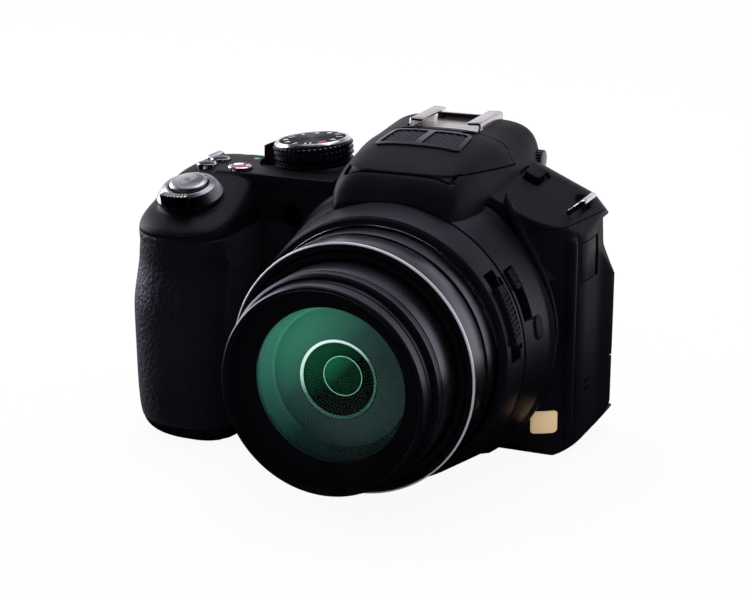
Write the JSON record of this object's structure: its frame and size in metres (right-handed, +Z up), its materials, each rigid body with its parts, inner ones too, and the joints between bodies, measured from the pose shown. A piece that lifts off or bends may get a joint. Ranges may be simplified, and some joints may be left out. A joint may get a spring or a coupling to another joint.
{
  "type": "bridge camera",
  "caption": "Compact bridge camera with a fixed extending zoom lens, deep rubber grip, viewfinder hump with lifting flash lid, accessory shoe, top dial and swing-out screen.",
  "frame": {"origin": "mouth of the tripod socket, on the flat base below the lens axis", "axes": "+Z up, -Y along the lens towards the subject, +X to the left hand side of the user"},
  "size_m": [0.1243, 0.1096, 0.0866],
  "materials": {
    "shell_plastic": "fine grained matte",
    "gloss_black": "smooth satin",
    "grip_rubber": "pebbled",
    "bright_metal": "spun",
    "dark_metal": "anodised",
    "steel": "satin",
    "cast_frame": "as cast",
    "lens_glass": "coated",
    "gold_trim": "satin",
    "circuit": "circuit board",
    "cell_case": "plain",
    "card_plastic": "plain",
    "red_button": "satin",
    "green_lamp": "clear",
    "window": "tinted",
    "clear_window": "ribbed",
    "screen_glass": "polished"
  },
  "bodies": {
    "camera_body": {"front_cover": "shell_plastic", "rear_cover": "shell_plastic", "top_cover": "shell_plastic", "grip_rubber": "grip_rubber", "thumb_rubber": "grip_rubber", "badge_plate": "gold_trim", "chassis": "cast_frame", "tripod_bush": "steel", "base_screws": "steel", "lens_collar": "shell_plastic", "lens_barrel": "gloss_black", "front_trim_ring": "bright_metal", "rear_trim_ring": "bright_metal", "rear_cell": "gloss_black", "image_sensor": "circuit", "main_board": "circuit", "battery": "cell_case", "memory_card": "card_plastic", "eyecup": "grip_rubber", "eyepiece_glass": "window", "accessory_shoe": "steel", "strap_lug_right": "steel", "strap_lug_left": "steel", "focus_lamp": "window", "status_lamp": "green_lamp"},
    "zoom_stage_rear": {"zoom_tube_rear": "gloss_black"},
    "zoom_stage_front": {"zoom_tube_front": "gloss_black", "filter_ring": "gloss_black", "front_glass": "lens_glass", "inner_glass": "lens_glass"},
    "flash_head": {"flash_lid": "shell_plastic", "mic_grille": "gloss_black", "flash_window": "clear_window"},
    "screen": {"screen_housing": "shell_plastic", "screen_glass": "screen_glass"},
    "shutter_button": {"shutter_button": "bright_metal"},
    "zoom_lever": {"zoom_lever": "dark_metal"},
    "mode_dial": {"mode_dial": "dark_metal"},
    "power_lever": {"power_lever": "shell_plastic"},
    "movie_button": {"movie_button": "red_button"},
    "function_button": {"function_button": "bright_metal"},
    "drive_button": {"drive_button": "bright_metal"},
    "flash_button": {"flash_button": "shell_plastic"},
    "side_lever": {"side_lever": "shell_plastic"},
    "focus_switch": {"focus_switch": "shell_plastic"},
    "focus_button": {"focus_button": "shell_plastic"},
    "mic_door": {"mic_door": "shell_plastic"},
    "terminal_door": {"terminal_door": "grip_rubber"},
    "battery_door": {"battery_door": "shell_plastic"},
    "battery_latch": {"battery_latch": "shell_plastic"},
    "dioptre_dial": {"dioptre_dial": "gloss_black"},
    "viewfinder_button": {"viewfinder_button": "gloss_black"},
    "lock_button": {"lock_button": "gloss_black"},
    "playback_button": {"playback_button": "gloss_black"},
    "rear_dial": {"rear_dial": "dark_metal"},
    "cursor_pad": {"cursor_pad": "gloss_black"},
    "set_button": {"set_button": "gloss_black"},
    "display_button": {"display_button": "gloss_black"},
    "menu_button": {"menu_button": "gloss_black"}
  },
  "joints": [
    {"name": "zoom_front", "type": "slide", "parent": "camera_body", "child": "zoom_stage_front", "axis": [0, -1, 0], "range_m": [0, 0.06]},
    {"name": "zoom_rear", "type": "slide", "parent": "camera_body", "child": "zoom_stage_rear", "axis": [0, -1, 0], "range_m": [0, 0.03]},
    {"name": "shutter_press", "type": "slide", "parent": "camera_body", "child": "shutter_button", "axis": [0, 0.2756, -0.9613], "range_m": [0, 0.0008], "stiffness_N_per_m": 600},
    {"name": "zoom_lever_turn", "type": "hinge", "parent": "camera_body", "child": "zoom_lever", "pos_m": [-0.06, -0.031, 0.06734], "axis": [0, -0.2756, 0.9613], "range_deg": [-18, 18], "stiffness_Nm_per_rad": 0.04},
    {"name": "mode_dial_turn", "type": "hinge", "parent": "camera_body", "child": "mode_dial", "pos_m": [-0.038, 0.0023, 0.072], "axis": [-0.0872, 0, 0.9962], "continuous": true},
    {"name": "power_lever_turn", "type": "hinge", "parent": "camera_body", "child": "power_lever", "pos_m": [-0.038, 0.0023, 0.072], "axis": [-0.0872, 0, 0.9962], "range_deg": [0, 25]},
    {"name": "movie_button_press", "type": "slide", "parent": "camera_body", "child": "movie_button", "axis": [0, 0, -1], "range_m": [0, 0.0008], "stiffness_N_per_m": 400},
    {"name": "function_button_press", "type": "slide", "parent": "camera_body", "child": "function_button", "axis": [0, 0, -1], "range_m": [0, 0.0008], "stiffness_N_per_m": 400},
    {"name": "drive_button_press", "type": "slide", "parent": "camera_body", "child": "drive_button", "axis": [0, 0, -1], "range_m": [0, 0.0008], "stiffness_N_per_m": 400},
    {"name": "flash_lid_swing", "type": "hinge", "parent": "camera_body", "child": "flash_head", "pos_m": [0, 0.0006, 0.0826], "axis": [-1, 0, 0], "range_deg": [0, 50]},
    {"name": "flash_button_press", "type": "slide", "parent": "camera_body", "child": "flash_button", "axis": [-0.4027, 0.1874, -0.896], "range_m": [0, 0.0008], "stiffness_N_per_m": 400},
    {"name": "side_lever_turn", "type": "hinge", "parent": "camera_body", "child": "side_lever", "pos_m": [0, -0.0384, 0.0346], "axis": [0, -1, 0], "range_deg": [-6, 6], "stiffness_Nm_per_rad": 0.1},
    {"name": "focus_switch_turn", "type": "hinge", "parent": "camera_body", "child": "focus_switch", "pos_m": [0, -0.03, 0.0346], "axis": [0, -1, 0], "range_deg": [-12, 0]},
    {"name": "focus_button_press", "type": "slide", "parent": "camera_body", "child": "focus_button", "axis": [-0.9877, 0, -0.1564], "range_m": [0, 0.0008], "stiffness_N_per_m": 400},
    {"name": "mic_door_swing", "type": "hinge", "parent": "camera_body", "child": "mic_door", "pos_m": [0.0436, 0.0014, 0.054], "axis": [0, 0, 1], "range_deg": [0, 95]},
    {"name": "terminal_door_swing", "type": "hinge", "parent": "camera_body", "child": "terminal_door", "pos_m": [-0.0739, 0.0058, 0.031], "axis": [0, 0, 1], "range_deg": [0, 95]},
    {"name": "battery_door_swing", "type": "hinge", "parent": "camera_body", "child": "battery_door", "pos_m": [-0.0684, -0.011, 0.00105], "axis": [0, 1, 0], "range_deg": [0, 90]},
    {"name": "battery_latch_slide", "type": "slide", "parent": "battery_door", "child": "battery_latch", "axis": [0, -1, 0], "range_m": [0, 0.0034]},
    {"name": "screen_swing", "type": "hinge", "parent": "camera_body", "child": "screen", "pos_m": [0.044, 0.0148, 0.0345], "axis": [0, 0, -1], "range_deg": [0, 180]},
    {"name": "dioptre_turn", "type": "hinge", "parent": "camera_body", "child": "dioptre_dial", "pos_m": [0.022, 0.02, 0.0745], "axis": [1, 0, 0], "range_deg": [-120, 120]},
    {"name": "rear_dial_turn", "type": "hinge", "parent": "camera_body", "child": "rear_dial", "pos_m": [-0.052, 0.011, 0.0615], "axis": [0, 0, 1], "continuous": true},
    {"name": "viewfinder_button_press", "type": "slide", "parent": "camera_body", "child": "viewfinder_button", "axis": [0, -1, 0], "range_m": [0, 0.0008], "stiffness_N_per_m": 400},
    {"name": "lock_button_press", "type": "slide", "parent": "camera_body", "child": "lock_button", "axis": [0, -1, 0], "range_m": [0, 0.0008], "stiffness_N_per_m": 400},
    {"name": "playback_button_press", "type": "slide", "parent": "camera_body", "child": "playback_button", "axis": [0, -1, 0], "range_m": [0, 0.0008], "stiffness_N_per_m": 400},
    {"name": "cursor_pad_press", "type": "slide", "parent": "camera_body", "child": "cursor_pad", "axis": [0, -1, 0], "range_m": [0, 0.0008], "stiffness_N_per_m": 400},
    {"name": "set_button_press", "type": "slide", "parent": "camera_body", "child": "set_button", "axis": [0, -1, 0], "range_m": [0, 0.0008], "stiffness_N_per_m": 400},
    {"name": "display_button_press", "type": "slide", "parent": "camera_body", "child": "display_button", "axis": [0, -1, 0], "range_m": [0, 0.0008], "stiffness_N_per_m": 400},
    {"name": "menu_button_press", "type": "slide", "parent": "camera_body", "child": "menu_button", "axis": [0, -1, 0], "range_m": [0, 0.0008], "stiffness_N_per_m": 400}
  ],
  "couplings": [
    {"joint": "zoom_rear", "follows": "zoom_front", "ratio": 0.5}
  ]
}
